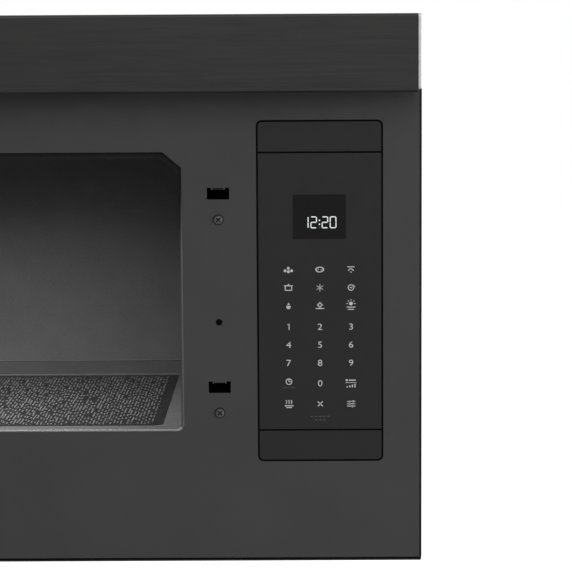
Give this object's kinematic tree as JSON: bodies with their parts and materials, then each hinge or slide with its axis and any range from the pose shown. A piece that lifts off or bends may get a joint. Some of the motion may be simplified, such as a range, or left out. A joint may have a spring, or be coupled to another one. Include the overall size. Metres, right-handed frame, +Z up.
{
  "type": "over the range microwave oven",
  "caption": "Wall-hung microwave oven with an extractor hood below it, a full-width side-hinged door, a keypad on the frame behind the door and a top vent strip.",
  "frame": {"origin": "on the back face of the wall plate, at mid-width, 200 mm above the underside", "axes": "+X to the right seen from the front, +Y into the wall, +Z up; the front faces -Y and the wall is the plane y = 0"},
  "size_m": [0.807, 1.185, 0.433],
  "materials": {
    "black_stainless": "dark stainless with a fine horizontal brushed grain",
    "bare_steel": "bright bare steel",
    "frame_paint": "smooth matt dark grey paint",
    "galvanised": "zinc coated sheet, dull",
    "enamel": "dark grey enamel with a fine fleck",
    "floor_ceramic": "dark glass ceramic with a printed field of short dashes",
    "panel_black": "satin black glass",
    "black_plastic": "moulded black plastic",
    "white_plastic": "moulded white plastic",
    "dark_glass": "glossy black glass",
    "clear_glass": "clear glass",
    "aluminium": "plain aluminium",
    "copper": "varnished copper windings on a laminated core",
    "circuit_board": "green board with components",
    "charcoal": "granular charcoal"
  },
  "bodies": {
    "cabinet": {"wall_plate": "galvanised", "rear_panel": "galvanised", "wrapper": "frame_paint", "front_frame": "frame_paint", "bottom_pan": "frame_paint", "plenum_deck": "galvanised", "front_strip": "black_stainless", "strip_cap_right": "bare_steel", "strip_cap_left": "bare_steel", "top_grille": "black_plastic", "charcoal_filter": "charcoal", "cavity_liner": "enamel", "floor_plate": "floor_ceramic", "waveguide": "galvanised", "stirrer_motor": "galvanised", "panel_cap_lower": "panel_black", "touch_glass": "panel_black", "panel_cap_upper": "panel_black", "panel_tray": "black_plastic", "display_module": "dark_glass", "control_board": "circuit_board", "latch_bracket": "black_plastic", "interlock_switch_lower": "black_plastic", "interlock_switch_upper": "black_plastic", "latch_screw_lower": "galvanised", "latch_screw_upper": "galvanised", "grease_filter_left": "aluminium", "grease_filter_right": "aluminium", "lamp_lens": "clear_glass", "hood_lamp": "white_plastic", "blower_housing": "black_plastic", "blower_motor": "galvanised", "damper_frame": "black_plastic", "cord_grommet": "black_plastic", "fan_shroud": "galvanised", "fan_motor": "galvanised", "magnetron": "galvanised", "power_transformer": "copper", "high_voltage_capacitor": "aluminium", "oven_lamp": "white_plastic", "hinge_bracket_lower": "galvanised", "hinge_bracket_upper": "galvanised"},
    "door": {"door_skin": "black_stainless", "door_glass": "dark_glass", "touch_strip": "dark_glass", "door_carrier": "black_plastic", "door_choke": "galvanised", "choke_cover": "black_plastic", "inner_glass": "clear_glass", "door_inner_panel": "frame_paint", "door_handle": "black_stainless"},
    "latch_bar": {"latch_bar": "white_plastic"},
    "interlock_plunger_lower": {"interlock_plunger_lower": "white_plastic"},
    "interlock_plunger_upper": {"interlock_plunger_upper": "white_plastic"},
    "blower_rotor": {"blower_shaft": "bare_steel", "blower_wheel_left": "galvanised", "blower_wheel_right": "galvanised"},
    "fan_rotor": {"fan_rotor": "white_plastic"},
    "stirrer": {"stirrer_blade": "aluminium"},
    "damper_flap": {"damper_flap": "galvanised"}
  },
  "joints": [
    {"name": "door_swing", "type": "hinge", "parent": "cabinet", "child": "door", "pos_m": [-0.3675, -0.438, 0], "axis": [0, 0, 1], "range_deg": [-15, 90]},
    {"name": "latch_lift", "type": "slide", "parent": "door", "child": "latch_bar", "axis": [0, 0, 1], "range_m": [0, 0.0016], "stiffness_N_per_m": 600, "springref_m": -0.003},
    {"name": "plunger_lower_push", "type": "slide", "parent": "cabinet", "child": "interlock_plunger_lower", "axis": [0, 1, 0], "range_m": [0, 0.0025], "stiffness_N_per_m": 300, "springref_m": -0.002},
    {"name": "plunger_upper_push", "type": "slide", "parent": "cabinet", "child": "interlock_plunger_upper", "axis": [0, 1, 0], "range_m": [0, 0.0025], "stiffness_N_per_m": 300, "springref_m": -0.002},
    {"name": "blower_spin", "type": "hinge", "parent": "cabinet", "child": "blower_rotor", "pos_m": [0, -0.058, 0.163], "axis": [1, 0, 0], "continuous": true},
    {"name": "fan_spin", "type": "hinge", "parent": "cabinet", "child": "fan_rotor", "pos_m": [0.286, -0.335, -0.048], "axis": [0, 1, 0], "continuous": true},
    {"name": "stirrer_spin", "type": "hinge", "parent": "cabinet", "child": "stirrer", "pos_m": [-0.0632, -0.255, -0.11], "axis": [0, 0, 1], "continuous": true},
    {"name": "damper_swing", "type": "hinge", "parent": "cabinet", "child": "damper_flap", "pos_m": [0, -0.0225, 0.224], "axis": [-1, 0, 0], "range_deg": [0, 70]}
  ]
}
